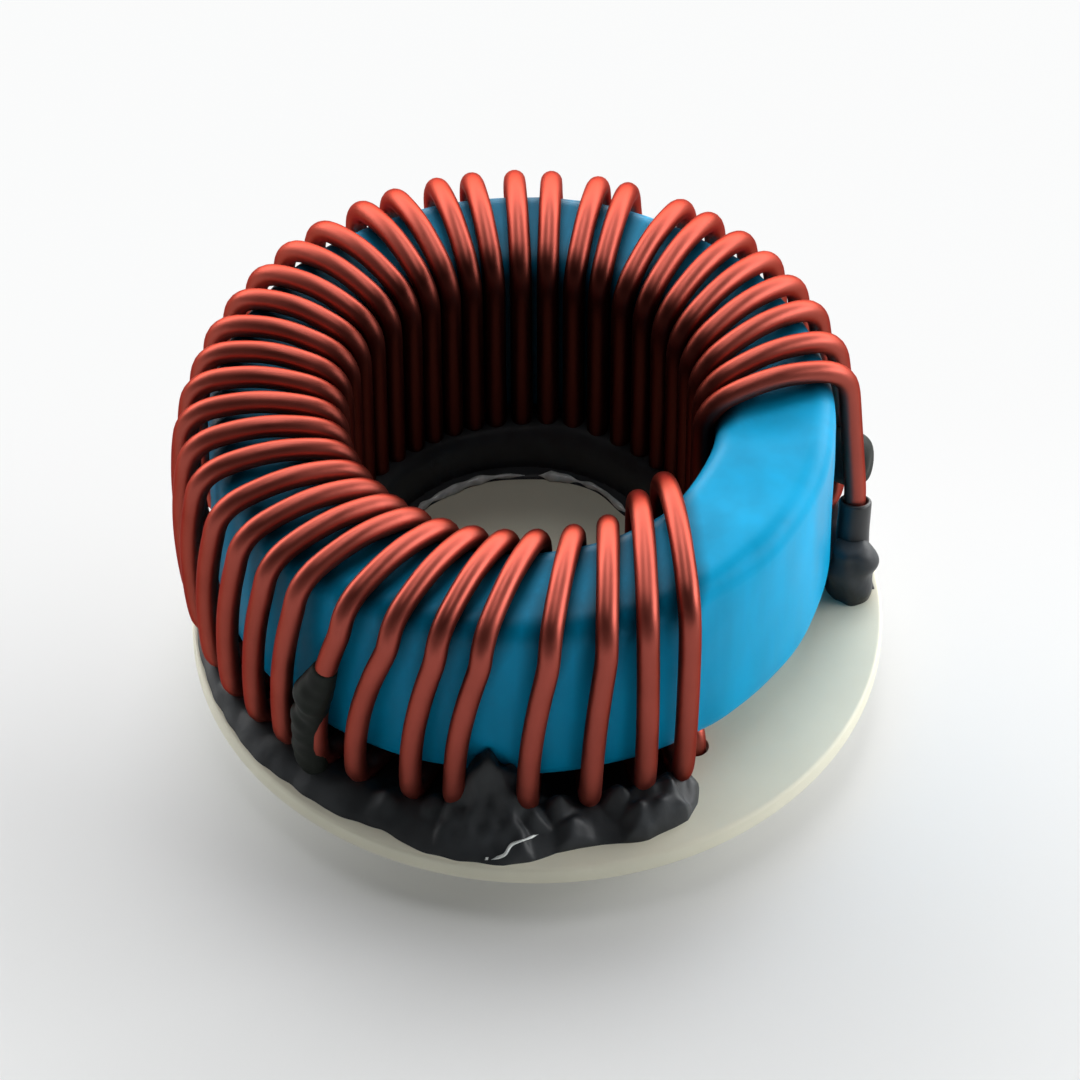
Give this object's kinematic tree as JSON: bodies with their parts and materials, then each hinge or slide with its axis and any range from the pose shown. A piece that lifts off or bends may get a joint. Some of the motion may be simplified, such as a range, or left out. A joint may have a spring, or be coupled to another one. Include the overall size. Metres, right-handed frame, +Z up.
{
  "type": "toroidal inductor",
  "caption": "Toroidal power inductor: a coated ring core wound with thick enamelled wire, glued to a round base plate, its lead ends standing out below as pins.",
  "frame": {"origin": "centre of the base plate's underside", "axes": "+Z up out of the plate along the coil's axis; the bare stretch of the ring faces between +X and -Y"},
  "size_m": [0.0529, 0.0553, 0.0257],
  "materials": {
    "base_laminate": "pale warm grey insulating sheet, smooth and slightly translucent",
    "core_coat": "glossy sky-blue epoxy coat on a pressed powder ring",
    "enamelled_wire": "glossy red-brown enamel on copper, the pin ends tinned",
    "black_glue": "black adhesive with a wet-looking skin",
    "black_sleeve": "black insulating sleeve"
  },
  "bodies": {
    "root": {"base_plate": "base_laminate", "core": "core_coat", "winding": "enamelled_wire", "glue_bed": "black_glue", "glue_dab_left": "black_glue", "glue_dab_right": "black_glue", "lead_sleeve": "black_sleeve"}
  },
  "joints": []
}
